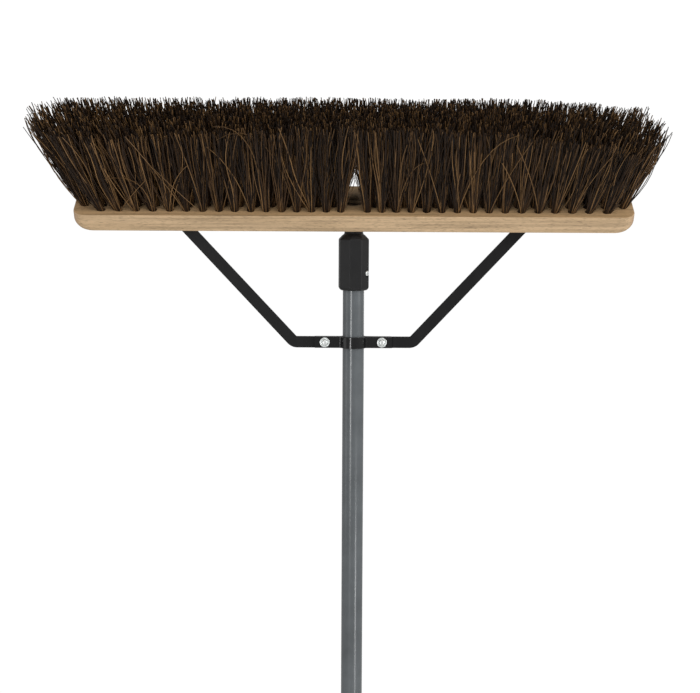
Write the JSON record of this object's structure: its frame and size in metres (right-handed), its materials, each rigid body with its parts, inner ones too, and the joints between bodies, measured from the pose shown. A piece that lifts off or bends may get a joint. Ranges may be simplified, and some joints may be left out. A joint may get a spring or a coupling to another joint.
{
  "type": "push broom",
  "caption": "Push broom: a wooden block of stiff fibre bristle on a screw-in tube handle, braced by two steel arms clamped to the tube.",
  "frame": {"origin": "centre of the flat end face of the hang-up cap, at the handle's free end", "axes": "+Z along the handle towards the head, +X along the block, bristles lean towards -Y"},
  "size_m": [0.684, 0.1163, 1.6383],
  "materials": {
    "beech": "unvarnished planed beech, fine grain",
    "palmyra_fibre": "dark brown stiff palm fibre",
    "black_paint": "satin black powder coat",
    "gloss_black_paint": "glossy black paint",
    "ferrule_plastic": "moulded black plastic, faintly textured",
    "cap_plastic": "moulded black plastic",
    "grey_enamel": "slate grey enamel, semi-gloss",
    "zinc": "bright zinc plating",
    "steel_pin": "plain drawn steel"
  },
  "bodies": {
    "handle": {"handle_tube": "grey_enamel", "ferrule": "ferrule_plastic", "ferrule_screw": "zinc", "hang_cap": "cap_plastic"},
    "tip_core": {"tip_core_pin": "steel_pin"},
    "head": {"block": "beech", "bristle_row_1_left": "palmyra_fibre", "bristle_row_1_right": "palmyra_fibre", "bristle_row_2_left": "palmyra_fibre", "bristle_row_2_right": "palmyra_fibre", "bristle_row_3_left": "palmyra_fibre", "bristle_row_3_right": "palmyra_fibre", "bristle_row_4_left": "palmyra_fibre", "bristle_row_4_right": "palmyra_fibre", "bristle_row_5_left": "palmyra_fibre", "bristle_row_5_right": "palmyra_fibre", "brace_arm_left": "black_paint", "brace_arm_right": "black_paint", "clamp_front_saddle": "gloss_black_paint", "clamp_rear_saddle": "gloss_black_paint", "clamp_bolt_left": "zinc", "clamp_bolt_right": "zinc", "clamp_nut_left": "zinc", "clamp_nut_right": "zinc", "brace_screw_left": "zinc", "brace_screw_right": "zinc"}
  },
  "joints": [
    {"name": "head_turn", "type": "hinge", "parent": "handle", "child": "tip_core", "pos_m": [0, 0, 1.507], "axis": [0, 0, 1], "range_deg": [0, 1800]},
    {"name": "head_advance", "type": "slide", "parent": "tip_core", "child": "head", "axis": [0, 0, 1], "range_m": [0, 0.0255]}
  ],
  "couplings": [
    {"joint": "head_advance", "follows": "head_turn", "m_per_rad": 0.00080851}
  ]
}
